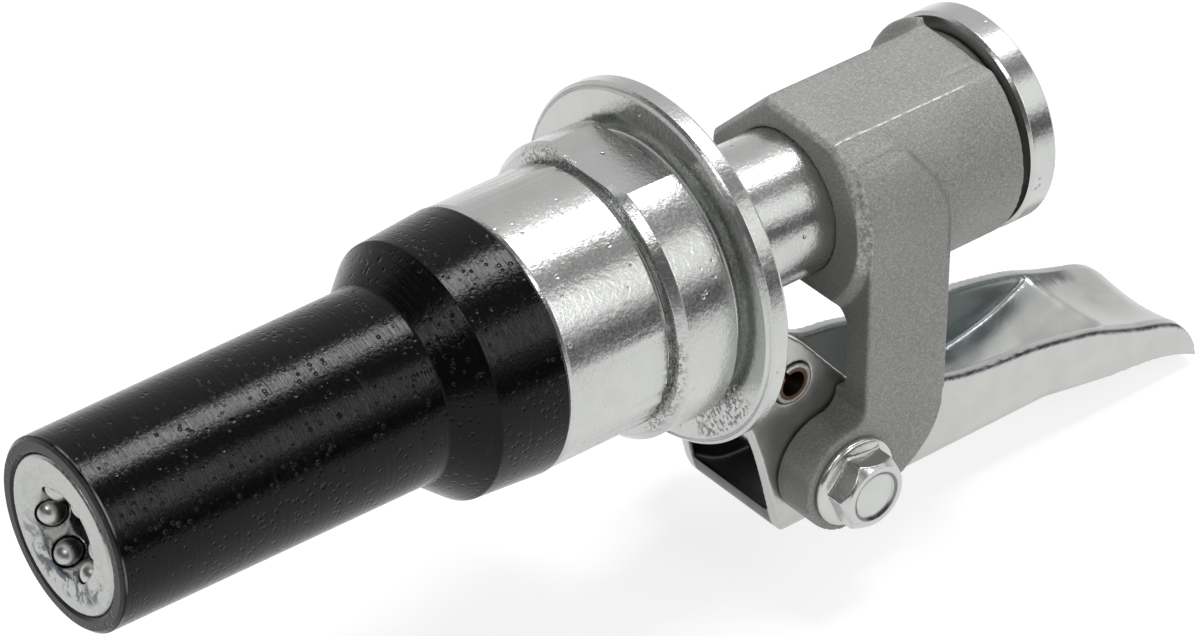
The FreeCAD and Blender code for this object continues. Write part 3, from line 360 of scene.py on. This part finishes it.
BLACK = black_gloss("black_gloss")
ZINC = zinc_turned("zinc_turned")
ZINC_RING = zinc_turned("zinc_ring", grain=0.6, rings=1.6, rough=0.22)
ZINC_HEAD = zinc_turned("zinc_head", along="Y", grain=0.5, rings=0.6, rough=0.22)
MOUTH = zinc_mouth("zinc_mouth")
CAST = blasted_casting("blasted_casting")
SHEET = zinc_sheet("zinc_sheet")
PIN = rusty_pin("pin_steel")
BALL = plain_metal("ball_steel", (0.50, 0.50, 0.49), 0.30, (0.32, 0.32, 0.32))
SPRING = plain_metal("spring_steel", (0.42, 0.42, 0.42), 0.35)
RUBBER = rubber("seal_rubber")

FINISH = {
    "front_sleeve": BLACK, "rear_barrel": ZINC, "nozzle_core": MOUTH,
    "pusher_sleeve": ZINC, "stem": ZINC, "nozzle_seal": RUBBER,
    "main_spring": SPRING, "check_spring": SPRING, "inlet_adapter": ZINC_RING,
    "cast_bracket": CAST, "lever": SHEET, "cross_pin": PIN, "pivot_bolt": ZINC_HEAD,
    "pivot_bush": ZINC, "pivot_washer": ZINC_HEAD, "pivot_nut": ZINC_HEAD,
    "check_ball": BALL,
}
for node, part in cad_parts.items():
    part.data.materials.clear()
    part.data.materials.append(FINISH.get(node, BALL))


# ------------------------------------------------------------------- pieces
def show(mesh, name, node, body, material):
    """Show a mesh in a CAD node's place, riding the node's body."""
    piece = bpy.data.objects.new(name, mesh)
    bpy.context.scene.collection.objects.link(piece)
    mesh.materials.clear()
    mesh.materials.append(material)
    mesh.polygons.foreach_set("use_smooth", [True] * len(mesh.polygons))
    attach(piece, body)
    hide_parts(node)


def skin(node, voxel, rounds):
    """A remeshed copy of a CAD node's mesh with softened edges."""
    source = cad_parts[node]
    draft = bpy.data.objects.new(node + "_draft", source.data.copy())
    bpy.context.scene.collection.objects.link(draft)
    weld = draft.modifiers.new("weld", "WELD")
    weld.merge_threshold = 0.000002
    grid = draft.modifiers.new("grid", "REMESH")
    grid.mode = "VOXEL"
    grid.voxel_size = voxel * MM
    grid.use_smooth_shade = True
    soft = draft.modifiers.new("soft", "SMOOTH")
    soft.factor = 0.5
    soft.iterations = rounds
    depsgraph = bpy.context.evaluated_depsgraph_get()
    mesh = bpy.data.meshes.new_from_object(draft.evaluated_get(depsgraph))
    bpy.data.objects.remove(draft)
    return mesh


def soften(mesh, share, rounds):
    """Smooth a mesh where share(place, normal) is above zero."""
    draft = bpy.data.objects.new("draft", mesh)
    bpy.context.scene.collection.objects.link(draft)
    group = draft.vertex_groups.new(name="soft")
    for vertex in mesh.vertices:
        weight = share(vertex.co / MM, vertex.normal)
        if weight > 0.01:
            group.add([vertex.index], weight, "REPLACE")
    smooth = draft.modifiers.new("smooth", "SMOOTH")
    smooth.factor = 0.6
    smooth.iterations = rounds
    smooth.vertex_group = "soft"
    depsgraph = bpy.context.evaluated_depsgraph_get()
    made = bpy.data.meshes.new_from_object(draft.evaluated_get(depsgraph))
    bpy.data.objects.remove(draft)
    return made


def mask(mesh, name, share):
    """Store a 0..1 value at each vertex, from its place in mm and its normal."""
    layer = mesh.attributes.new(name, "FLOAT", "POINT")
    layer.data.foreach_set("value", [share(v.co / MM, v.normal) for v in mesh.vertices])


def ramp(value, low, high):
    """Smooth step: 0 at low, 1 at high."""
    share = min(1.0, max(0.0, (value - low) / (high - low)))
    return share * share * (3 - 2 * share)


FILLET_STEPS = 7


def rounded(corners):
    """Closed profile of (station, radius, fillet) corners, rounded, in mm."""
    points = []
    count = len(corners)
    for i, (x, r, fillet) in enumerate(corners):
        here = Vector((x, r))
        before = Vector(corners[i - 1][:2]) - here
        after = Vector(corners[(i + 1) % count][:2]) - here
        angle = before.angle(after)
        if angle > 3.1:
            points.append(here)
            continue
        reach = min(fillet / math.tan(angle / 2), 0.45 * before.length, 0.45 * after.length)
        start = here + before.normalized() * reach
        end = here + after.normalized() * reach
        lead = min(0.06, 0.3 * reach)
        points.append(start + before.normalized() * lead)
        for k in range(FILLET_STEPS + 1):
            t = k / FILLET_STEPS
            points.append(start * (1 - t) ** 2 + here * 2 * t * (1 - t) + end * t * t)
        points.append(end + after.normalized() * lead)
    return points


def lathe(name, corners, flat=None, wobble=None, extra=()):
    """Closed turned mesh about X. Flat is (half width, from, to): two flats across Z.

    Wobble changes the radius at (station, radius, turn). Extra adds turns, in radians.
    """
    profile = rounded(corners)
    turns = [math.radians(1.5 * i) for i in range(240)] + list(extra)
    turns.sort()
    vertices = []
    for turn in turns:
        for x, r in profile:
            radius = r + (wobble(x, r, turn) if wobble else 0.0)
            y, z = radius * math.cos(turn), radius * math.sin(turn)
            if flat and flat[1] < x < flat[2]:
                half = flat[0] - 0.7 * max(0.0, x - flat[2] + 0.3)
                z = min(half, max(-half, z))
            vertices.append((x * MM, y * MM, z * MM))
    rows, cols = len(turns), len(profile)
    faces = []
    for i in range(rows):
        for j in range(cols):
            a, b = i * cols + j, i * cols + (j + 1) % cols
            c, d = (i + 1) % rows * cols + (j + 1) % cols, (i + 1) % rows * cols + j
            faces.append((a, d, c, b))
    mesh = bpy.data.meshes.new(name)
    mesh.from_pydata(vertices, [], faces)
    mesh.validate()
    mesh.update()
    mesh.set_sharp_from_angle(angle=math.radians(16))
    return mesh


def torn(x, r, turn):
    """Torn edge of the undercut, low on the near side and at the top."""
    if not (61.2 < x < 62.7 and r > 13.4):
        return 0.0
    degrees = math.degrees(turn)
    low = ramp(degrees, 150, 175) * ramp(degrees, 232, 215)
    top = ramp(degrees, 40, 55) * ramp(degrees, 88, 76)
    return 0.18 * max(low, top) * noise.noise(Vector((x * 2.6, 14 * turn, 3.0)))


# Profiles of the turned pieces: corners of (station, radius, fillet)
NOSE = [
    (0, 8.6, 0.12), (0, 9.6, 0.12), (0.4, 10.0, 0.15), (37.7, 10.35, 0.5), (41.5, 13.6, 0.25),
    (49.2, 14.2, 0.15), (49.5, 13.9, 0.12), (49.5, 11.5, 0.1), (43.98, 11.5, 0.1),
    (43.98, 9.9, 0.1), (40.95, 9.9, 0.1), (40.95, 8.45, 0.1), (1.22, 8.45, 0.05),
    (1.22, 8.3, 0.05), (0.3, 8.3, 0.1)]
BARREL = [
    (44, 9.9, 0.1), (66.5, 9.9, 0.1), (66.5, 8.04, 0.1), (72.5, 8.04, 0.1),
    (72.5, 19.3, 0.1), (72.2, 19.5, 0.25), (70.6, 19.5, 0.14), (70.3, 19.2, 0.08),
    (70.5, 18.98, 0.05), (70.1, 18.7, 0.1), (70.1, 18.2, 0), (70.1, 15.9, 0),
    (70.1, 15.2, 0), (70.1, 14.5, 0.35), (68.9, 14.5, 0.3), (68.9, 15.9, 0.16), (63.0, 15.9, 0.25),
    (62.1, 15.1, 0.15), (62.1, 13.52, 0.1), (61.5, 13.52, 0.1), (61.5, 14.12, 0.12),
    (49.9, 14.12, 0.2), (49.52, 13.82, 0.25), (49.52, 11.48, 0.1), (44, 11.48, 0.1)]
FLAT = 14.75
SPANNER_R = 15.9
THREAD = []
for groove in range(10):
    THREAD += [(114.3 - 0.9 * groove, 4.4, 0.05), (113.85 - 0.9 * groove, 4.85, 0.05)]
INLET = [
    (97.37, 2.8, 0.1), (97.37, 6.0, 0.1), (111.67, 6.0, 0.1), (111.67, 11.75, 0.12),
    (112.02, 12.1, 0.25), (114.82, 12.1, 0.25), (115.17, 11.75, 0.12),
    (115.17, 5.1, 0.12)] + THREAD + [
    (105.17, 4.4, 0.1), (103.97, 2.0, 0.1), (98.17, 2.0, 0.1)]

show(lathe("nose_turned", NOSE), "nose_turned", "front_sleeve", "nose", BLACK)
reach = math.acos(FLAT / SPANNER_R)
flat_ends = [side + sign * reach for side in (math.pi / 2, 1.5 * math.pi) for sign in (-1, 1)]
barrel_mesh = lathe("barrel_turned", BARREL, (FLAT, 62.0, 68.95), torn, flat_ends)


def marred(place, normal):
    """Chatter marks on the flange's front face, and the torn undercut."""
    x, r = place.x, math.hypot(place.y, place.z)
    turn = math.degrees(math.atan2(place.z, place.y)) % 360
    chatter = ramp(x, 69.9, 70.05) * ramp(70.5 - x, 0.0, 0.1) * ramp(r, 15.3, 15.9)
    chatter *= ramp(18.7 - r, 0.0, 0.4) * ramp(turn, 203, 212) * ramp(turn, 244, 236)
    groove = 0.6 * ramp(x, 61.40, 61.5) * ramp(62.7 - x, 0.0, 0.3) * ramp(r, 13.2, 13.5)
    sides = ramp(turn, 160, 180) * ramp(turn, 232, 218)
    top = ramp(turn, 44, 56) * ramp(turn, 90, 80)
    return max(chatter, groove * max(sides, top))


mask(barrel_mesh, "marred", marred)
show(barrel_mesh, "barrel_turned", "rear_barrel", "nose", ZINC)
show(lathe("inlet_turned", INLET), "inlet_turned", "inlet_adapter", "bracket",
     ZINC_RING)


def dish(place, normal):
    """The dished ring of the mouth."""
    r = math.hypot(place.y, place.z)
    return ramp(2.6 - place.x, 0.0, 0.4) * ramp(7.9 - r, 0.0, 0.5) * ramp(r, 3.4, 4.0)


core_mesh = soften(skin("nozzle_core", 0.12, 3), dish, 90)
show(core_mesh, "mouth_core", "nozzle_core", "nose", MOUTH)
cast_mesh = skin("cast_bracket", 0.25, 5)
FOOT_START, FOOT_END = 106.17, 110.57
# The raised cheek's rear edge: (height, station)
CHEEK = [(-7.0, 100.2), (1.5, 99.65), (4.8, 98.25), (7.6, 96.25), (9.4, 94.25), (10.2, 93.0)]


def cheek_edge(z):
    """Station of the raised cheek's rear edge at this height."""
    for (low, x_low), (high, x_high) in zip(CHEEK, CHEEK[1:]):
        if z <= high:
            share = max(0.0, (z - low) / (high - low))
            return x_low + share * (x_high - x_low)
    return CHEEK[-1][1]


# The cheek sinks into the body at its top, and the far foot follows the body's section.
for vertex in cast_mesh.vertices:
    x, y, z = vertex.co / MM
    r = math.hypot(y, z)
    if y < 0 and 1.0 < z < 10.1 and 89.7 < x < cheek_edge(z) - 0.1 and 11.8 < r < 12.75:
        scale = (12.05 + 0.55 * ramp(10.0 - z, 0.2, 3.2)) / r
    elif y > -4.5 and z > 0 and FOOT_START - 0.3 < x < FOOT_END - 0.2 and r > 10.4:
        scale = min(1.0, 11.9 / max(abs(y), 1e-6), 14.3 / (abs(y) + abs(z)), 10.6 / abs(z))
        scale = 1 - (1 - scale) * ramp(FOOT_END - 0.5 - x, 0.0, 1.3)
    else:
        continue
    vertex.co.y *= scale
    vertex.co.z *= scale
cast_mesh.update()


def rubbed_and_highlight(place, normal):
    """Bright wear on the front bevel, partly painted highlight, stronger on the near side."""
    if place.x > 92.5:
        return 0.0
    edge = ramp(-normal.x, 0.15, 0.45) * ramp(-normal.x, 0.97, 0.85)
    strong = 0.45 + 0.55 * ramp(-place.y, 8.5, 10.5)
    return 0.8 * edge * strong * ramp(place.z, -4.5, -2.0)


def painted_shade(place, normal):
    """Painted shade round the inlet's seat and along the cheek's edge, and on the front face."""
    r = math.hypot(place.y, place.z)
    seat = ramp(place.x, FOOT_END - 0.12, FOOT_END) * ramp(12.6 - r, 0.0, 0.1)
    step = 0.0
    if place.y < -6 and -6.5 < place.z < 8.8 and r > 11.8:
        d = place.x - cheek_edge(place.z)
        step = 0.45 * ramp(d, -0.35, 0.0) * ramp(d, 0.75, 0.3) * ramp(place.z, -6.5, -4.0)
        step *= ramp(8.8 - place.z, 0.0, 2.0)
    front = 0.38 * ramp(-normal.x, 0.90, 0.98) * ramp(place.x, 93.0, 91.0)
    front *= ramp(6.0 - place.z, 0.0, 5.0)
    return max(0.85 * seat, step, front)


mask(cast_mesh, "rubbed_and_highlight", rubbed_and_highlight)
mask(cast_mesh, "painted_shade", painted_shade)
show(cast_mesh, "bracket_casting", "cast_bracket", "bracket", CAST)

lever_mesh = skin("lever", 0.22, 5)


def bowl(place, normal):
    """The channel's inner walls, and more of the hollow thumb end."""
    p = place - PIVOT
    inward = -normal.y if p.y > 0 else normal.y
    inner = ramp(max(normal.z, inward), 0.1, 0.5) * ramp(6.75 - abs(p.y), 0.0, 0.3)
    middle = ramp(p.x, 26.0, 34.0) * ramp(6.0 - abs(p.y), 0.0, 1.0)
    return inner * max(0.25 * ramp(p.x, 12.0, 20.0), middle) * ramp(53.0 - p.x, 0.0, 5.0)


lever_mesh = soften(lever_mesh, bowl, 90)
# The thumb end sags in the middle, and its tip is rounded at the corners.
for vertex in lever_mesh.vertices:
    place = vertex.co / MM - PIVOT
    middle = max(0.0, 1 - (place.y / 6.2) ** 2)
    place.z -= 0.9 * middle * ramp(place.x, 36.0, 47.0)
    place.x -= 0.4 * ramp(place.x, 49.0, 55.7) * abs(place.y / 7.5) ** 3
    vertex.co = (place + PIVOT) * MM
lever_mesh.update()

# Highest point of each side wall, per half millimetre along the lever
RIM_TOP = {}
for vertex in lever_mesh.vertices:
    place = vertex.co / MM - PIVOT
    if abs(place.y) > 6.3 and place.x > 0:
        key = (place.y > 0, round(place.x * 2))
        RIM_TOP[key] = max(RIM_TOP.get(key, -99.0), place.z)


def rim_shade_line(place, normal):
    """Painted shade: a dark line below the rim, outside on the near wall, inside on the far one.
    """
    p = place - PIVOT
    top = RIM_TOP.get((p.y > 0, round(p.x * 2)), 99.0)
    near_top = ramp(p.z, top - 0.55, top - 0.35)
    along = ramp(p.x, 4.0, 8.0)
    if p.y < 0:
        return near_top * along * ramp(-p.y, 7.05, 7.3) * ramp(54.5 - p.x, 0.0, 2.5)
    return 0.8 * near_top * along * ramp(6.5 - p.y, 0.0, 0.3) * ramp(49.0 - p.x, 0.0, 2.5)


def tip_corner_shade(place, normal):
    """Painted shade in the far corner at the tip."""
    spot = (place - Vector((142.0, 6.2, -37.0))).length
    return 0.8 * ramp(2.6 - spot, 0.0, 1.6)


def opening_shade(place, normal):
    """Painted shade inside the front opening."""
    p = place - PIVOT
    inside = ramp(6.35 - abs(p.y), 0.0, 0.3) * ramp(p.z, -8.3, -7.9)
    return inside * ramp(p.x, 9.0, 3.0) * ramp(p.z, 6.0, 2.0)


def far_wall_shade(place, normal):
    """Painted shade on the inner face of the far wall."""
    p = place - PIVOT
    inner = ramp(max(normal.z, -normal.y), 0.1, 0.4) * ramp(6.6 - p.y, 0.0, 0.2)
    along = 0.4 * ramp(p.x, 0.0, 4.0) + 0.45 * ramp(p.x, 9.0, 17.0)
    return along * inner * ramp(p.y, 2.5, 4.5) * ramp(p.x, 44.0, 34.0)


mask(lever_mesh, "rim_shade_line", rim_shade_line)
mask(lever_mesh, "opening_shade", opening_shade)
mask(lever_mesh, "far_wall_shade", far_wall_shade)
mask(lever_mesh, "tip_corner_shade", tip_corner_shade)
show(lever_mesh, "lever_sheet", "lever", "lever", SHEET)

bolt_mesh = skin("pivot_bolt", 0.12, 3)
bolt_top = min(vertex.co.y for vertex in bolt_mesh.vertices) / MM
HEAD = 3.3
RECESS_R, RECESS_HALF = 2.75, 0.22
# The hexagon is slightly smaller with a rounder chamfer, and a groove runs round its face.
for vertex in bolt_mesh.vertices:
    place = vertex.co / MM - PIVOT
    up = place.y - bolt_top
    if up < HEAD:
        r = math.hypot(place.x, place.z)
        scale = min(1 - 0.06 * ramp(HEAD - up, 0.0, 0.4), (3.5 + 0.9 * up) / max(r, 0.1))
        place.x *= scale
        place.y += 0.3 * ramp(HEAD - up, 0.0, 3.0)
        place.z *= scale
        if up < 0.5 and abs(r - RECESS_R) < RECESS_HALF:
            place.y += 0.09
        vertex.co = (place + PIVOT) * MM
bolt_mesh.update()


def recess(place, normal):
    """Painted shade: a dark ring in the groove round the bolt's face."""
    p = place - PIVOT
    ring = ramp(RECESS_HALF - abs(math.hypot(p.x, p.z) - RECESS_R), 0.0, 0.1)
    return 0.8 * ring if p.y < bolt_top + 0.9 else 0.0


mask(bolt_mesh, "groove_shade", recess)
show(bolt_mesh, "bolt_rounded", "pivot_bolt", "bracket", ZINC_HEAD)


# ------------------------------------------------------- floor, light, camera
CAMERA_PLACE = (-0.19981, -0.32710, 0.29632)
CAMERA_VIEW = Vector((0.51137, 0.63311, -0.58109))
MIDDLE = Vector((0.06, 0, 0))
GROUND = cad_box[0][2]
LAMP_AWAY = 0.6
CARD_AWAY = 0.75


def emptied(owner, output_kind):
    """The cleared node tree of a material or world, and a new output node."""
    owner.use_nodes = True
    tree = owner.node_tree
    tree.nodes.clear()
    return tree, tree.nodes.new(output_kind)


def level(tree, lit, shown):
    """Lit for rays that light the object, shown for camera, glossy and transmission rays."""
    path = tree.nodes.new("ShaderNodeLightPath")
    total = path.outputs["Is Camera Ray"]
    for name in ("Is Glossy Ray", "Is Transmission Ray"):
        either = tree.nodes.new("ShaderNodeMath")
        either.operation = "MAXIMUM"
        tree.links.new(total, either.inputs[0])
        tree.links.new(path.outputs[name], either.inputs[1])
        total = either.outputs[0]
    made = tree.nodes.new("ShaderNodeMapRange")
    made.inputs["To Min"].default_value = lit
    made.inputs["To Max"].default_value = shown
    tree.links.new(total, made.inputs["Value"])
    return made.outputs[0]


def world_light():
    """White surround that lights the object at a plain level."""
    world = bpy.data.worlds.new("studio")
    bpy.context.scene.world = world
    tree, output = emptied(world, "ShaderNodeOutputWorld")
    back = tree.nodes.new("ShaderNodeBackground")
    tree.links.new(level(tree, 0.46, 1.0), back.inputs["Strength"])
    tree.links.new(back.outputs[0], output.inputs[0])


def studio_frame(turn, shift, distance):
    """Place facing the object, in the barrel's mirror direction at this turn."""
    angle = math.radians(turn)
    ahead = Vector((0.511, 0.859 * math.cos(angle), 0.859 * math.sin(angle)))
    ahead.normalize()
    along = Vector((1, 0, 0)) - ahead * ahead.x
    along.normalize()
    side = ahead.cross(along)
    place = Matrix((
        (along.x, side.x, ahead.x, 0), (along.y, side.y, ahead.y, 0),
        (along.z, side.z, ahead.z, 0), (0, 0, 0, 1)))
    place.translation = MIDDLE + ahead * distance + along * shift
    return place


def area_light(name, place, width, length, radiance):
    data = bpy.data.lights.new(name, "AREA")
    data.shape = "RECTANGLE"
    data.size = length
    data.size_y = width
    data.energy = radiance * math.pi * length * width
    lamp = bpy.data.objects.new(name, data)
    lamp.visible_camera = False
    bpy.context.scene.collection.objects.link(lamp)
    lamp.matrix_world = place


def strip_light(name, turn, width, length, radiance, shift=0.0, distance=LAMP_AWAY):
    area_light(name, studio_frame(turn, shift, distance), width, length, radiance)


def cone_light():
    """Small lamp beside the camera, mirrored by the nose's cone."""
    ahead = Vector((-0.740, -0.165, 0.648)).normalized()
    place = ahead.to_track_quat("Z", "Y").to_matrix().to_4x4()
    place.translation = Vector((0.04, 0, 0)) + ahead * LAMP_AWAY
    area_light("cone_light", place, width=0.06, length=0.22, radiance=9.0)


def stage_plane(name, corners, material):
    mesh = bpy.data.meshes.new(name)
    mesh.from_pydata([Vector(c) for c in corners], [], [(0, 1, 2, 3)])
    mesh.materials.append(material)
    plane = bpy.data.objects.new(name, mesh)
    bpy.context.scene.collection.objects.link(plane)
    return plane


def grey_card(name, corners, shade):
    """Plain card that metal mirrors as one even grey."""
    material = bpy.data.materials.new(name)
    tree, output = emptied(material, "ShaderNodeOutputMaterial")
    glow = tree.nodes.new("ShaderNodeEmission")
    glow.inputs["Color"].default_value = (shade, shade, shade, 1)
    tree.links.new(glow.outputs[0], output.inputs["Surface"])
    stage_plane(name, corners, material).visible_camera = False


def hung_card(name, turn, width, length, shade):
    place = studio_frame(turn, 0.0, CARD_AWAY)
    corners = [(-length / 2, -width / 2), (length / 2, -width / 2),
               (length / 2, width / 2), (-length / 2, width / 2)]
    grey_card(name, [place @ Vector((u, v, 0)) for u, v in corners], shade)


def pale_floor(half, drop):
    """White floor that keeps the object's shadow, a little below the object."""
    material = bpy.data.materials.new("floor_white")
    tree, output = emptied(material, "ShaderNodeOutputMaterial")
    paint = tree.nodes.new("ShaderNodeBsdfDiffuse")
    tree.links.new(level(tree, 0.82, 0.34), paint.inputs["Color"])
    glow = tree.nodes.new("ShaderNodeEmission")
    tree.links.new(level(tree, 0.0, 0.76), glow.inputs["Strength"])
    add = tree.nodes.new("ShaderNodeAddShader")
    tree.links.new(paint.outputs[0], add.inputs[0])
    tree.links.new(glow.outputs[0], add.inputs[1])
    tree.links.new(add.outputs[0], output.inputs["Surface"])
    low = GROUND - drop
    stage_plane("floor", [(-half, -half, low), (half, -half, low), (half, half, low),
                          (-half, half, low)], material)


def set_camera():
    data = bpy.data.cameras.new("camera")
    data.lens = 155.3
    data.sensor_width = 36.0
    data.sensor_fit = "HORIZONTAL"
    data.dof.use_dof = False
    data.clip_start = 0.01
    camera = bpy.data.objects.new("camera", data)
    bpy.context.scene.collection.objects.link(camera)
    camera.location = CAMERA_PLACE
    camera.rotation_mode = "QUATERNION"
    camera.rotation_quaternion = CAMERA_VIEW.to_track_quat("-Z", "Y")
    bpy.context.scene.camera = camera


world_light()
strip_light("softbox_back", turn=87.0, width=0.20, length=0.5, radiance=2.8)
strip_light("softbox_front", turn=145.0, width=0.30, length=0.4, radiance=1.0, shift=0.19)
strip_light("nose_back", turn=86.5, width=0.20, length=0.15, radiance=18.0, shift=-0.115)
strip_light("nose_front", turn=144.0, width=0.26, length=0.14, radiance=4.3, shift=-0.13,
            distance=0.58)
cone_light()
hung_card("card_behind", turn=115.0, width=1.54, length=1.3, shade=0.25)
hung_card("card_above", turn=42.0, width=0.62, length=1.1, shade=0.70)
grey_card("card_low", [(0.05, -0.275, GROUND), (0.65, -0.275, GROUND), (0.65, -0.275, 0.058),
                       (0.05, -0.275, 0.058)], 0.06)
grey_card("card_left", [(-0.55, -0.9, GROUND), (-0.55, 0.9, GROUND), (-0.55, 0.9, 0.9),
                        (-0.55, -0.9, 0.9)], 0.12)
pale_floor(half=1.6, drop=0.0010)
set_camera()
bpy.context.scene.view_settings.view_transform = "Standard"
